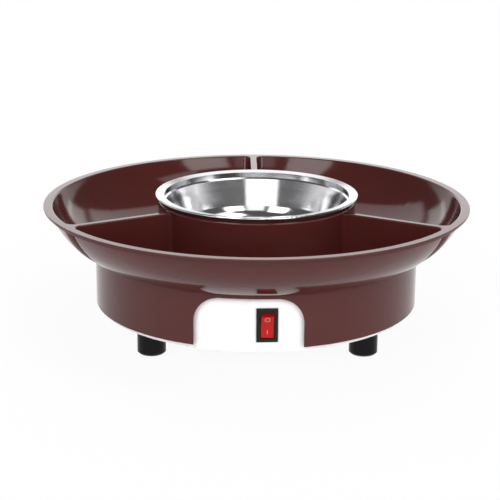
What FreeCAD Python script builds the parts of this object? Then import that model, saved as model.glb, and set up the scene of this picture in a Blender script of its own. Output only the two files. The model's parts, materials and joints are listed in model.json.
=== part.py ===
import FreeCAD, Part
import math
import os
import Sketcher

# A chocolate melter: a three-compartment serving tray with a skirt stands over a
# round heated base, and a steel bowl hangs in the tray's well and sits on the base's
# hot plate. Millimetres, +Z up, origin on the ground under the middle of the part.
# The front, with the arch and the switch, looks along -Y; the cord gland is at +Y.

os.makedirs("parts", exist_ok=True)
doc = FreeCAD.newDocument("ChocolateMelter")
sheet = doc.addObject("Spreadsheet::Sheet", "Sizes")


# Sizes and how they bind

class Size:
    """A number together with the sheet formula that gives it."""

    def __init__(self, value, text):
        self.value = value
        self.text = text

    def join(self, other, sign, value):
        return Size(value, "(%s %s %s)" % (self.text, sign, formula(other)))

    def __add__(self, other):
        return self.join(other, "+", self.value + number(other))

    def __sub__(self, other):
        return self.join(other, "-", self.value - number(other))

    def __mul__(self, other):
        return self.join(other, "*", self.value * number(other))

    def __truediv__(self, other):
        return self.join(other, "/", self.value / number(other))

    def __radd__(self, other):
        return self + other

    def __rsub__(self, other):
        return self * -1 + other

    def __rmul__(self, other):
        return self * other

    def __neg__(self):
        return self * -1


def formula(thing):
    return thing.text if isinstance(thing, Size) else "(%r)" % thing


def number(thing):
    return thing.value if isinstance(thing, Size) else thing


def size(alias, value, note):
    """One driving dimension: a row of the sheet, and the value to build with."""
    size.row += 1
    sheet.set("A%d" % size.row, note)
    sheet.set("B%d" % size.row, str(value))
    sheet.setAlias("B%d" % size.row, alias)
    return Size(value, "Sizes." + alias)


size.row = 0

# Serving tray
rim_radius = size("rim_radius", 145.0, "outside of the tray's rim")
rim_height = size("rim_height", 85.5, "top of the rim above the ground")
rim_band = size("rim_band", 6.0, "flat top band of the rim")
rim_lip = size("rim_lip", 1.2, "height of the rim's outer lip")
rim_round = size("rim_round", 0.5, "rounding of the rim's upper edge")
rim_step = size("rim_step", 2.0, "how far the second band sits inside the lip")
rim_step_height = size("rim_step_height", 2.0, "height of the second band")
shell_top_radius = size("shell_top_radius", 141.7, "outer shell's curve at the rim")
shell_arc = size("shell_arc", 55.0, "radius of the outer shell's curve")
crease_step = size("crease_step", 1.2, "outer shell's foot beyond the skirt")
tray_wall = size("tray_wall", 2.2, "wall of the tray and the skirt")
floor_under = size("floor_under", 51.6, "underside of the tray's floor above the ground")
crease_rise = size("crease_rise", 0.5, "crease above the floor's underside")
divider_width = size("divider_width", 5.0, "width of a divider's top")
divider_wall = size("divider_wall", 1.6, "each of a divider's two walls")
corner_radius = size("corner_radius", 5.5, "compartment corners at the outer wall")
inner_corner = size("inner_corner", 3.0, "compartment corners at the well")
floor_fillet = size("floor_fillet", 3.0, "fillet round each compartment's floor")
well_radius = size("well_radius", 64.5, "inside of the well")
well_wall = size("well_wall", 3.0, "wall of the well")
shoulder_rise = size("shoulder_rise", 1.5, "well's shoulder above the rim")
shoulder_fillet = size("shoulder_fillet", 1.3, "rounding of the well's shoulder")
seat_lip = size("seat_lip", 0.8, "thickness of the thin lip inside the shoulder")
seat_rise = size("seat_rise", 2.1, "thin lip above the shoulder")
locating_rib = size("locating_rib", 2.0, "height and width of the rib inside the skirt's top")

# Skirt
skirt_gap = size("skirt_gap", 1.0, "inside of the skirt to the base's tub")
skirt_bottom = size("skirt_bottom", 17.0, "lower edge of the skirt above the ground")
arch_width = size("arch_width", 69.6, "width of the arch in the skirt")
arch_offset = size("arch_offset", 6.4, "arch's middle to the left of the tray's middle")
arch_top = size("arch_top", 49.8, "top of the arch above the ground")
arch_corner = size("arch_corner", 17.0, "upper corners of the arch")
notch_width = size("notch_width", 16.0, "cord notch at the skirt's rear")
notch_top = size("notch_top", 34.0, "top of the cord notch above the ground")
notch_corner = size("notch_corner", 4.0, "upper corners of the cord notch")

# Bowl
bowl_rise = size("bowl_rise", 1.9, "bowl's rim above the divider's seat for it")
bowl_band = size("bowl_band", 5.3, "width of the bowl's flared rim")
bowl_flare = size("bowl_flare", 0.8, "rise of the flared rim outwards")
bowl_sheet = size("bowl_sheet", 0.8, "thickness of the bowl's steel")
bowl_bead = size("bowl_bead", 1.0, "radius of the rolled edge")
bowl_gap = size("bowl_gap", 0.5, "bowl's collar to the well, at each side")
bowl_collar = size("bowl_collar", 3.7, "height of the straight collar")
bowl_step = size("bowl_step", 1.0, "step in under the collar")
bowl_taper = size("bowl_taper", 15.0, "lean of the bowl's wall, in degrees")
bowl_curve = size("bowl_curve", 15.0, "curve between the bowl's wall and its bottom")

# Base
base_radius = size("base_radius", 107.3, "outside of the base's tub")
base_wall = size("base_wall", 2.5, "wall of the base's tub and its bottom plate")
base_bottom = size("base_bottom", 14.0, "lower edge of the base above the ground")
base_fillet = size("base_fillet", 8.0, "rounding of the tub's top edge")
spigot_gap = size("spigot_gap", 0.8, "base's spigot to the tray's well")
spigot_height = size("spigot_height", 5.0, "height of the spigot round the hot plate")
key_width = size("key_width", 5.0, "width of the key that turns the tray the right way")
key_height = size("key_height", 4.0, "height of the key")
key_bite = size("key_bite", 1.8, "how far the key reaches into the well's wall")
part_gap = size("part_gap", 0.3, "clearance round a part that drops into another")
boss_radius = size("boss_radius", 4.5, "screw bosses in the tub")
boss_inset = size("boss_inset", 19.3, "screw bosses' middles inside the tub's outside")
boss_angle = size("boss_angle", 30.0, "angle from the X axis to a screw boss, degrees")
vent_inner = size("vent_inner", 30.0, "inner end of the vent slots")
vent_length = size("vent_length", 24.0, "length of a vent slot")
vent_width = size("vent_width", 3.0, "width of a vent slot")

# Feet and screws
foot_radius = size("foot_radius", 9.4, "radius of a foot")
foot_inset = size("foot_inset", 9.3, "feet's middles inside the tub's outside")
foot_chamfer = size("foot_chamfer", 1.2, "bevel of a foot's lower edge")
foot_bore = size("foot_bore", 3.8, "counterbore for the foot's screw")
foot_seat = size("foot_seat", 7.0, "seat of the screw's head in a foot above the ground")
foot_boss_height = size("foot_boss_height", 6.0, "bosses over the feet on the bottom plate")
foot_screw_bite = size("foot_screw_bite", 3.6, "how far a foot's screw reaches into its boss")
screw_shank = size("screw_shank", 1.45, "radius of the screws' shanks")
screw_head = size("screw_head", 3.0, "radius of the screws' heads")
screw_head_height = size("screw_head_height", 2.0, "height of the screws' heads")
screw_fit = size("screw_fit", 0.05, "radial clearance of a screw in its hole")
screw_bite = size("screw_bite", 8.0, "how far a housing screw reaches into its boss")
tip_gap = size("tip_gap", 0.6, "depth of a screw's hole beyond its tip")

# Hot plate and heater
plate_ledge = size("plate_ledge", 5.0, "hot plate's flange beyond its boss")
plate_flange = size("plate_flange", 3.0, "thickness of the hot plate's flange")
plate_round = size("plate_round", 0.9, "rounding of the hot plate's upper edge")
plate_screw_bite = size("plate_screw_bite", 2.4, "how far a clamp screw reaches into the hot plate")
plate_boss = size("plate_boss", 49.0, "radius of the hot plate's boss under the flange")
seal_height = size("seal_height", 1.0, "thickness of the seal under the flange")
seal_rim = size("seal_rim", 1.5, "seal beyond the hot plate's edge")
deck_hole_gap = size("deck_hole_gap", 1.5, "hole in the tub's deck round the boss")
mica_inset = size("mica_inset", 4.0, "mica discs inside the hot plate's boss")
mica_thickness = size("mica_thickness", 0.6, "thickness of a mica disc")
element_inset = size("element_inset", 2.0, "heating element inside the mica discs")
element_thickness = size("element_thickness", 1.0, "thickness of the heating element")
element_bore = size("element_bore", 12.0, "hole in the heating element's middle")
stud_place = size("stud_place", 12.0, "middle of the part to each stud, sideways")
stud_back = size("stud_back", 14.4, "middle of the part to the studs, backwards")
stud_gap = size("stud_gap", 1.45, "clearance round the studs")
stud_length = size("stud_length", 6.0, "length of the studs below the clamp")
clamp_sheet = size("clamp_sheet", 1.2, "thickness of the clamp dish")
clamp_rim = size("clamp_rim", 9.5, "clamp dish's rim beyond the hole in the deck")
clamp_screw_inset = size("clamp_screw_inset", 7.0, "clamp screws inside the mica discs")
thermostat_radius = size("thermostat_radius", 8.0, "radius of the thermostat")
thermostat_height = size("thermostat_height", 9.0, "height of the thermostat")
ear_circle = size("ear_circle", 12.0, "thermostat's middle to each of its screws")
ear_thickness = size("ear_thickness", 1.0, "thickness of the thermostat's ears")
tab_place = size("tab_place", 4.8, "thermostat's middle to each of its tabs")
tab_width = size("tab_width", 4.0, "width of the thermostat's tabs")
tab_thickness = size("tab_thickness", 0.8, "thickness of the thermostat's tabs")
tab_length = size("tab_length", 6.0, "length of the thermostat's tabs")
fuse_radius = size("fuse_radius", 2.0, "radius of the thermal fuse")
fuse_length = size("fuse_length", 11.0, "length of the thermal fuse")
fuse_offset = size("fuse_offset", 24.0, "thermal fuse to the middle of the part")
clip_sheet = size("clip_sheet", 0.8, "thickness of the fuse clip")
clip_width = size("clip_width", 5.0, "width of the fuse clip")

# Switch
switch_angle = size("switch_angle", 2.7, "switch to the right of the front, degrees")
switch_height = size("switch_height", 31.8, "middle of the switch above the ground")
bezel_width = size("bezel_width", 13.6, "width of the switch's bezel")
bezel_height = size("bezel_height", 22.0, "height of the switch's bezel")
bezel_depth = size("bezel_depth", 1.8, "how far the bezel stands out of its seat")
bezel_round = size("bezel_round", 0.5, "rounded edges of the bezel's front")
seat_depth = size("seat_depth", 0.4, "flat seat cut into the tub for the bezel")
switch_body_width = size("switch_body_width", 11.0, "width of the switch's body")
switch_body_height = size("switch_body_height", 19.0, "height of the switch's body")
switch_body_depth = size("switch_body_depth", 16.0, "depth of the switch's body")
rocker_width = size("rocker_width", 8.0, "width of the rocker")
rocker_radius = size("rocker_radius", 8.2, "rocker's ends about its pivot")
rocker_gap = size("rocker_gap", 0.3, "clearance round the rocker")
rocker_dip = size("rocker_dip", 2.6, "rocker's middle in front of its pivot")
rocker_ends = size("rocker_ends", 4.2, "rocker's ends in front of its pivot")
rocker_back = size("rocker_back", 1.4, "rocker's flat back behind its pivot")
rocker_tilt = size("rocker_tilt", 9.0, "rocker's lean to each side, degrees")
pivot_depth = size("pivot_depth", 2.2, "pivot behind the bezel's front")
pivot_pin = size("pivot_pin", 1.0, "radius of the rocker's pivot pins")
pivot_fit = size("pivot_fit", 0.05, "radial clearance of a pivot pin")
pivot_reach = size("pivot_reach", 1.0, "length of a pivot pin in its socket")
lamp_radius = size("lamp_radius", 1.8, "radius of the neon lamp")
lamp_length = size("lamp_length", 5.0, "length of the neon lamp")
blade_width = size("blade_width", 4.8, "width of a switch terminal")
blade_thickness = size("blade_thickness", 0.8, "thickness of a switch terminal")
blade_length = size("blade_length", 7.5, "length of a switch terminal")
blade_pitch = size("blade_pitch", 7.0, "distance between the switch terminals")

# Terminal block and cord entry
block_width = size("block_width", 26.0, "width of the terminal block")
block_depth = size("block_depth", 14.0, "depth of the terminal block")
block_height = size("block_height", 12.0, "height of the terminal block")
block_inset = size("block_inset", 51.3, "terminal block's middle inside the tub's outside")
block_pitch = size("block_pitch", 9.0, "distance between the block's ways")
block_bore = size("block_bore", 2.0, "radius of a way through the block")
way_height = size("way_height", 5.0, "middle of the block's ways above its foot")
block_screw = size("block_screw", 1.8, "radius of a block screw")
block_screw_length = size("block_screw_length", 4.9, "length of a block screw")
gland_height = size("gland_height", 26.0, "middle of the cord gland above the ground")
gland_body = size("gland_body", 5.0, "radius of the gland in the tub's wall")
gland_flange = size("gland_flange", 6.5, "radius of the gland's flange")
gland_thickness = size("gland_thickness", 1.5, "thickness of the gland's flange")
gland_round = size("gland_round", 0.6, "rounding of the gland's flange")
gland_bore = size("gland_bore", 3.2, "radius of the gland's bore for a 6 mm cord")
gland_tail = size("gland_tail", 3.0, "length of the gland inside the wall")
clamp_bar_width = size("clamp_bar_width", 24.0, "length of the cord clamp's bar")
clamp_bar_depth = size("clamp_bar_depth", 8.0, "depth of the cord clamp's bar")
clamp_bar_height = size("clamp_bar_height", 3.0, "height of the cord clamp's bar")
clamp_bar_inset = size("clamp_bar_inset", 19.3, "cord clamp's middle inside the tub's outside")
clamp_post = size("clamp_post", 3.4, "radius of the cord clamp's posts")
clamp_pitch = size("clamp_pitch", 8.0, "cord clamp's middle to each of its screws")
clamp_screw_bite = size("clamp_screw_bite", 6.4, "how far the cord clamp's screws reach into their posts")
lead_radius = size("lead_radius", 1.0, "radius of the inner leads")

doc.recompute()

FEET = {"front_left_foot": 225.0, "front_right_foot": 315.0,
        "rear_right_foot": 45.0, "rear_left_foot": 135.0}
DIVIDER_ANGLES = (90.0, 210.0, 330.0)
BOSS_SIDES = ((1, 1), (-1, 1), (-1, -1), (1, -1))
VENTS = 12
UP = FreeCAD.Vector(0, 0, 1)


# Building helpers

def bind(thing, prop, value):
    """Set a property, from the sheet where its value comes from there."""
    if isinstance(value, Size):
        thing.setExpression(prop, value.text)
    else:
        setattr(thing, prop, value)


def new_body(label):
    body = doc.addObject("PartDesign::Body", label)
    body.Label = label
    return body


def set_place(thing, x=0, y=0, z=0, turn=0):
    """Give a part its Placement, bound to the sheet."""
    thing.Placement = FreeCAD.Placement()
    for axis, value in (("x", x), ("y", y), ("z", z)):
        if isinstance(value, Size):
            thing.setExpression("Placement.Base." + axis, value.text)
        elif value:
            thing.setExpression("Placement.Base." + axis, repr(value))
    if isinstance(turn, Size) or turn:
        thing.setExpression("Placement.Rotation.Angle", formula(turn) + " * 1 deg")


def pin_point(sketch, edge, end, x, y):
    """Hold one end of a sketch edge at a place that comes from the sheet."""
    for value, kind, axis in ((x, "DistanceX", -2), (y, "DistanceY", -1)):
        if isinstance(value, Size):
            index = sketch.addConstraint(
                Sketcher.Constraint(kind, -1, 1, edge, end, value.value))
            sketch.setExpression("Constraints[%d]" % index, value.text)
        elif value:
            sketch.addConstraint(Sketcher.Constraint(kind, -1, 1, edge, end, value))
        else:
            sketch.addConstraint(Sketcher.Constraint("PointOnObject", edge, end, axis))


def arc_edge(start, end, radius):
    """An arc between two points: a radius over 0 turns left on the way, under 0 right."""
    half = (end - start).Length / 2
    along = (end - start).normalize()
    left = FreeCAD.Vector(-along.y, along.x, 0)
    side = 1 if radius > 0 else -1
    centre = (start + end) / 2 + left * side * math.sqrt(radius ** 2 - half ** 2)
    first, last = (start, end) if radius > 0 else (end, start)
    first_angle = math.atan2(first.y - centre.y, first.x - centre.x)
    last_angle = math.atan2(last.y - centre.y, last.x - centre.x)
    circle = Part.Circle(centre, UP, abs(radius))
    return Part.ArcOfCircle(circle, first_angle, last_angle)


def draw_outline(sketch, corners):
    """Draw a closed outline: each corner is (x, y), or (x, y, radius) before an arc."""
    count = len(corners)
    points = [FreeCAD.Vector(number(c[0]), number(c[1]), 0) for c in corners]
    first_edge = sketch.GeometryCount
    ends = []
    for i, corner in enumerate(corners):
        radius = corner[2] if len(corner) > 2 else 0
        start, end = points[i], points[(i + 1) % count]
        if number(radius):
            sketch.addGeometry(arc_edge(start, end, number(radius)))
            ends.append((1, 2) if number(radius) > 0 else (2, 1))
        else:
            sketch.addGeometry(Part.LineSegment(start, end))
            ends.append((1, 2))
    for i, corner in enumerate(corners):
        after = (i + 1) % count
        sketch.addConstraint(Sketcher.Constraint(
            "Coincident", first_edge + i, ends[i][1], first_edge + after, ends[after][0]))
        pin_point(sketch, first_edge + i, ends[i][0], corner[0], corner[1])
        if len(corner) > 2:
            hold_radius(sketch, first_edge + i, corner[2])


def hold_radius(sketch, edge, radius):
    """Hold an arc's or a circle's radius at a size from the sheet."""
    value = abs(number(radius))
    index = sketch.addConstraint(Sketcher.Constraint("Radius", edge, value))
    if isinstance(radius, Size):
        sketch.setExpression("Constraints[%d]" % index, "abs(%s)" % radius.text)


def draw_circle(sketch, x, y, radius):
    centre = FreeCAD.Vector(number(x), number(y), 0)
    edge = sketch.addGeometry(Part.Circle(centre, UP, number(radius)))
    pin_point(sketch, edge, 3, x, y)
    hold_radius(sketch, edge, radius)


def new_sketch(body, role, outlines=(), circles=(), offset=0):
    """A sketch on one of the body's own planes, moved along its normal by an offset."""
    plane = [f for f in body.Origin.OriginFeatures if f.Role == role][0]
    sketch = body.newObject("Sketcher::SketchObject", body.Label + "_sketch")
    sketch.AttachmentSupport = [(plane, "")]
    sketch.MapMode = "FlatFace"
    if isinstance(offset, Size):
        sketch.setExpression("AttachmentOffset.Base.z", offset.text)
    elif offset:
        sketch.AttachmentOffset = FreeCAD.Placement(UP * offset, FreeCAD.Rotation())
    for outline in outlines:
        draw_outline(sketch, outline)
    for circle in circles:
        draw_circle(sketch, *circle)
    return sketch


def box_corners(x_middle, y_middle, width, height):
    """A rectangle's corners, about its middle."""
    left, right = x_middle - width / 2, x_middle + width / 2
    low, high = y_middle - height / 2, y_middle + height / 2
    return [(left, low), (right, low), (right, high), (left, high)]


def add_feature(body, kind, sketch, **settings):
    """Add a PartDesign feature of a sketch and bind its settings."""
    feature = body.newObject("PartDesign::" + kind, body.Label + "_" + kind.lower())
    feature.Profile = sketch
    for name, value in settings.items():
        bind(feature, name, value)
    body.Tip = feature
    return feature


def spin(body, outline, kind="Revolution"):
    """Turn an outline in the XZ plane about the part's own Z axis."""
    sketch = new_sketch(body, "XZ_Plane", [outline])
    return add_feature(body, kind, sketch, ReferenceAxis=(sketch, ["V_Axis"]), Angle=360.0)


def pad(body, sketch, length, side="One side", back=False):
    return add_feature(body, "Pad", sketch, SideType=side, Reversed=back, Length=length)


def pocket(body, sketch, length, side="One side", back=False):
    doc.recompute()
    before = body.Shape.Volume
    feature = add_feature(body, "Pocket", sketch, SideType=side, Reversed=back, Length=length)
    doc.recompute()
    if body.Shape.Volume > before - 0.001:
        raise RuntimeError("a pocket in %s cuts nothing" % body.Label)
    return feature


def polar(body, count, features=()):
    """Repeat features, or with none named the whole body, round the Z axis."""
    pattern = body.newObject("PartDesign::PolarPattern", body.Label + "_pattern")
    axis = [f for f in body.Origin.OriginFeatures if f.Role == "Z_Axis"][0]
    if features:
        pattern.Originals = features
    else:
        pattern.TransformMode = "Whole shape"
    pattern.Axis = (axis, [""])
    pattern.Angle = 360.0
    pattern.Occurrences = count
    body.Tip = pattern
    return pattern


def round_edges(body, radius, chosen, kind="Fillet"):
    """Round or bevel the edges that a test picks from the body's last feature."""
    doc.recompute()
    last = body.Tip
    names = ["Edge%d" % (i + 1) for i, e in enumerate(last.Shape.Edges) if chosen(e)]
    if not names:
        raise RuntimeError("no edge to round in %s" % body.Label)
    feature = body.newObject("PartDesign::" + kind, body.Label + "_" + kind.lower())
    feature.Base = (last, names)
    bind(feature, "Radius" if kind == "Fillet" else "Size", radius)
    body.Tip = feature
    return feature


def near(value, goal, slack=0.02):
    return abs(value - number(goal)) < slack


def level_edge(edge, height):
    """True for an edge that lies flat at a height."""
    heights = [v.Z for v in edge.Vertexes] + [edge.CenterOfMass.z]
    return all(near(z, height) for z in heights)


def upright_edge(edge):
    """True for a straight edge along Z."""
    box = edge.BoundBox
    return box.ZLength > 0.2 and box.XLength < 0.001 and box.YLength < 0.001


def at_angle(radius, angle):
    """The place at a radius and an angle in degrees, with its formulas."""
    turn = formula(angle) + " * 1 deg"
    value = math.radians(number(angle))
    cosine = Size(math.cos(value), "cos(%s)" % turn)
    sine = Size(math.sin(value), "sin(%s)" % turn)
    return cosine * radius, sine * radius


def spun_part(label, outline):
    """A turned piece."""
    body = new_body(label)
    spin(body, outline)
    return body


# Heights and radii that several pieces share

skirt_inside = base_radius + skirt_gap
skirt_radius = skirt_inside + tray_wall
crease_radius = skirt_radius + crease_step
floor_top = floor_under + tray_wall
crease_height = floor_under + crease_rise
lip_under = rim_height - rim_lip
band_under = lip_under - rim_step_height
shoulder = rim_height + shoulder_rise
well_outside = well_radius + well_wall
channel_width = divider_width - divider_wall * 2
deck_top = floor_under
deck_under = deck_top - base_wall
tub_inside = base_radius - base_wall
plate_under = deck_top + seal_height
plate_top = plate_under + plate_flange
boss_under = deck_under
bottom_top = base_bottom + base_wall
element_top = boss_under - mica_thickness
element_under = element_top - element_thickness
stack_under = element_under - mica_thickness
clamp_under = stack_under - clamp_sheet
screw_hole = screw_shank + screw_fit
deck_hole = plate_boss + deck_hole_gap
plate_radius = plate_boss + plate_ledge
mica_radius = plate_boss - mica_inset
clamp_bar_place = base_radius - clamp_bar_inset
block_place = base_radius - block_inset


# Serving tray

# How much of the wall lies level at the shell's foot, where its curve leans out
CREASE_SHARE = 0.7

# How far the hollows' blocks stand over the rim that they open
TOOL_OVER = 0.2


def pod_section():
    """Half section of the outside of the three compartments."""
    return [
        (well_radius, floor_under),
        (crease_radius, floor_under),
        (crease_radius, crease_height, shell_arc),
        (shell_top_radius, rim_height),
        (well_radius, rim_height),
    ]


def compartment_section():
    """Half section of the hollow of the three compartments, open at the top."""
    above = rim_height + TOOL_OVER
    return [
        (well_outside, floor_top),
        (crease_radius - tray_wall * CREASE_SHARE, floor_top),
        (crease_radius - tray_wall * CREASE_SHARE, floor_top + crease_rise, shell_arc - tray_wall),
        (rim_radius - rim_band, above),
        (well_outside, above),
    ]


def beside_sector(gap):
    """Plan of all that lies outside one sector about +X, its sides set in by half a gap."""
    reach = rim_radius * 2
    root = Size(math.sqrt(3), "sqrt(3)")
    tip = gap / root
    across = reach / 2 + gap * root / 4
    along = reach * root / 2 - gap / 4
    far = reach * -1
    return [(tip, 0), (across, along), (far, along), (far, along * -1), (across, along * -1)]


def sector_block(label, outline, gap, outer_round):
    """A solid sector between two dividers, about +X, with its outer corners rounded."""
    body = new_body(label)
    spin(body, outline)
    beside = new_sketch(body, "XY_Plane", [beside_sector(gap)])
    pocket(body, beside, rim_height * 2, back=True)
    round_edges(body, outer_round, lambda e: side_edge(e) and from_axis(e) > skirt_inside.value)
    return body


def three_sectors(body):
    """Repeat a whole body in the three sectors, and turn them between the dividers."""
    polar(body, len(DIVIDER_ANGLES))
    set_place(body, turn=-90)


def from_axis(edge):
    """How far the middle of an edge is from the Z axis."""
    return math.hypot(edge.CenterOfMass.x, edge.CenterOfMass.y)


def side_edge(edge):
    """True for an edge that runs up beside a divider, not round the tray."""
    start, end = edge.Vertexes[0].Point, edge.Vertexes[-1].Point
    turn = math.atan2(start.y, start.x) - math.atan2(end.y, end.x)
    seam = abs(edge.CenterOfMass.y) < number(divider_width)
    return edge.BoundBox.ZLength > 0.2 and abs(turn) < 0.05 and not seam


# The blocks of the compartments' outsides, and of the hollows in them
pods = sector_block("tray_pods", pod_section(), channel_width, corner_radius + tray_wall)
three_sectors(pods)
hollows = sector_block("tray_hollows", compartment_section(), divider_width, corner_radius)
round_edges(hollows, inner_corner, lambda e: upright_edge(e) and side_edge(e)
            and from_axis(e) < crease_radius.value)
round_edges(hollows, floor_fillet, lambda e: level_edge(e, floor_top))
three_sectors(hollows)

# The rim, the web over the dividers' channels and the well's wall, turned as one
crown = spun_part("tray_crown", [
    (well_radius, floor_under),
    (well_outside, floor_under),
    (well_outside, rim_height - tray_wall),
    (shell_top_radius - tray_wall, rim_height - tray_wall),
    (shell_top_radius - tray_wall, band_under),
    (rim_radius - rim_step, band_under),
    (rim_radius - rim_step, lip_under),
    (rim_radius, lip_under),
    (rim_radius, rim_height),
    (well_outside, rim_height),
    (well_outside, shoulder),
    (well_radius + seat_lip, shoulder),
    (well_radius + seat_lip, shoulder + seat_rise),
    (well_radius, shoulder + seat_rise),
])
round_edges(crown, shoulder_fillet, lambda e: level_edge(e, shoulder)
            and near(e.Curve.Radius, well_outside))
round_edges(crown, rim_round, lambda e: level_edge(e, rim_height)
            and near(e.Curve.Radius, rim_radius))


def fused(label, parts):
    """Several blocks joined into one."""
    joined = doc.addObject("Part::MultiFuse", label)
    joined.Label = label
    joined.Shapes = parts
    joined.Refine = True
    return joined


def cut_by(label, base, tool):
    """A block with another taken out of it."""
    cut = doc.addObject("Part::Cut", label)
    cut.Label = label
    cut.Base = base
    cut.Tool = tool
    cut.Refine = True
    return cut


# A rib under the floor that the skirt's top edge goes round
rib = spun_part("tray_rib", [
    (skirt_inside - screw_fit - locating_rib, floor_under - locating_rib),
    (skirt_inside - screw_fit, floor_under - locating_rib),
    (skirt_inside - screw_fit, floor_under),
    (skirt_inside - screw_fit - locating_rib, floor_under),
])

# The notch for the base's key, in the foot of the well's wall at the rear
key_reach = well_radius + key_bite
key_notch = new_body("tray_key_notch")
notch_plan = new_sketch(key_notch, "XY_Plane", offset=floor_under - locating_rib, outlines=[[
    (key_width * -0.5 - part_gap, well_radius - well_wall),
    (key_width * 0.5 + part_gap, well_radius - well_wall),
    (key_width * 0.5 + part_gap, key_reach + part_gap),
    (key_width * -0.5 - part_gap, key_reach + part_gap),
]])
pad(key_notch, notch_plan, locating_rib + key_height + part_gap)

tray_shell = fused("tray_shell", [pods, crown, rib])
serving_tray = cut_by("serving_tray", tray_shell, fused("tray_cuts", [hollows, key_notch]))


# Skirt

tray_skirt = spun_part("tray_skirt", [
    (skirt_inside, skirt_bottom),
    (skirt_radius, skirt_bottom),
    (skirt_radius, floor_under),
    (skirt_inside, floor_under),
])
arch_left = arch_width * -0.5 - arch_offset
arch_right = arch_width * 0.5 - arch_offset
arch = new_sketch(tray_skirt, "XZ_Plane", [[
    (arch_left, 0),
    (arch_right, 0),
    (arch_right, arch_top - arch_corner, arch_corner),
    (arch_right - arch_corner, arch_top),
    (arch_left + arch_corner, arch_top, arch_corner),
    (arch_left, arch_top - arch_corner),
]])
pocket(tray_skirt, arch, skirt_radius * 2, back=True)
cord_notch = new_sketch(tray_skirt, "XZ_Plane", [[
    (notch_width * -0.5, 0),
    (notch_width * 0.5, 0),
    (notch_width * 0.5, notch_top - notch_corner, notch_corner),
    (notch_width * 0.5 - notch_corner, notch_top),
    (notch_corner - notch_width * 0.5, notch_top, notch_corner),
    (notch_width * -0.5, notch_top - notch_corner),
]])
pocket(tray_skirt, cord_notch, skirt_radius * 2)


# Bowl

bowl_bottom = plate_top
bowl_top = shoulder + seat_rise + bowl_rise
collar_outside = well_radius - bowl_gap
bowl_rim = collar_outside + bowl_band
collar_foot = bowl_top - bowl_flare - bowl_collar
wall_top = collar_foot - bowl_step
wall_slope = Size(math.tan(math.radians(bowl_taper.value)), "tan(%s * 1 deg)" % bowl_taper.text)
heel_reach, heel_drop = at_angle(bowl_curve, bowl_taper)
inner_reach, inner_drop = at_angle(bowl_curve - bowl_sheet, bowl_taper)
heel = bowl_bottom + bowl_curve - heel_drop
inner_heel = bowl_bottom + bowl_curve - inner_drop
bowl_foot = collar_outside - bowl_step - (wall_top - heel) * wall_slope - heel_reach
inner_top = bowl_foot + inner_reach + (wall_top - inner_heel) * wall_slope
melting_bowl = spun_part("melting_bowl", [
    (0, bowl_bottom),
    (bowl_foot, bowl_bottom, bowl_curve),
    (bowl_foot + heel_reach, heel),
    (collar_outside - bowl_step, wall_top),
    (collar_outside, collar_foot),
    (collar_outside, bowl_top - bowl_flare - bowl_sheet),
    (bowl_rim - bowl_bead, bowl_top - bowl_bead * 2, bowl_bead),
    (bowl_rim, bowl_top - bowl_bead, bowl_bead),
    (bowl_rim - bowl_bead, bowl_top),
    (collar_outside - bowl_sheet, bowl_top - bowl_flare),
    (collar_outside - bowl_sheet, collar_foot),
    (inner_top, wall_top),
    (bowl_foot + inner_reach, inner_heel, bowl_sheet - bowl_curve),
    (bowl_foot, bowl_bottom + bowl_sheet),
    (0, bowl_bottom + bowl_sheet),
])


# Base tub

spigot_outside = well_radius - spigot_gap
spigot_inside = spigot_outside - base_wall
tub_fillet = base_fillet - base_wall
tub = spun_part("base_tub", [
    (tub_inside, base_bottom),
    (base_radius, base_bottom),
    (base_radius, deck_top - base_fillet, base_fillet),
    (base_radius - base_fillet, deck_top),
    (spigot_outside, deck_top),
    (spigot_outside, deck_top + spigot_height),
    (spigot_inside, deck_top + spigot_height),
    (spigot_inside, deck_top),
    (deck_hole, deck_top),
    (deck_hole, deck_under),
    (tub_inside - tub_fillet, deck_under, tub_fillet * -1),
    (tub_inside, deck_under - tub_fillet),
])
boss_x, boss_y = at_angle(base_radius - boss_inset, boss_angle)
boss_places = [(boss_x * a, boss_y * b) for a, b in BOSS_SIDES]
bosses = new_sketch(tub, "XY_Plane", offset=bottom_top,
                    circles=[(x, y, boss_radius) for x, y in boss_places])
pad(tub, bosses, deck_under - bottom_top)
boss_holes = new_sketch(tub, "XY_Plane", offset=bottom_top,
                        circles=[(x, y, screw_hole) for x, y in boss_places])
pocket(tub, boss_holes, screw_bite + tip_gap, back=True)
key_root = (spigot_inside + spigot_outside) / 2
key = new_sketch(tub, "XY_Plane", offset=deck_top, outlines=[[
    (key_width * -0.5, key_root),
    (key_width * 0.5, key_root),
    (key_width * 0.5, key_reach),
    (key_width * -0.5, key_reach),
]])
pad(tub, key, key_height)
gland_seat = new_sketch(tub, "XZ_Plane", circles=[(0, gland_height, gland_flange + part_gap)],
                        offset=seat_depth - base_radius)
pocket(tub, gland_seat, base_wall)
gland_hole = new_sketch(tub, "XZ_Plane", circles=[(0, gland_height, gland_body + screw_fit)])
pocket(tub, gland_hole, base_radius * 2)

# The switch's seat and opening face outwards at the switch's own angle
bezel_front = base_radius - seat_depth + bezel_depth
switch_x, switch_y = at_angle(bezel_front, switch_angle - 90)
switch_cut = new_body("switch_cut")
cut_face = new_sketch(switch_cut, "XZ_Plane", [box_corners(
    0, 0, bezel_width + part_gap * 2, bezel_height + part_gap * 2)])
pad(switch_cut, cut_face, bezel_depth, back=True)
cut_body = new_sketch(switch_cut, "XZ_Plane", [box_corners(
    0, 0, switch_body_width + screw_fit * 2, switch_body_height + screw_fit * 2)])
pad(switch_cut, cut_body, bezel_depth + base_wall * 2, back=True)
set_place(switch_cut, switch_x, switch_y, switch_height, switch_angle)
base_housing = cut_by("base_housing", tub, switch_cut)


# Bottom plate

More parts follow.
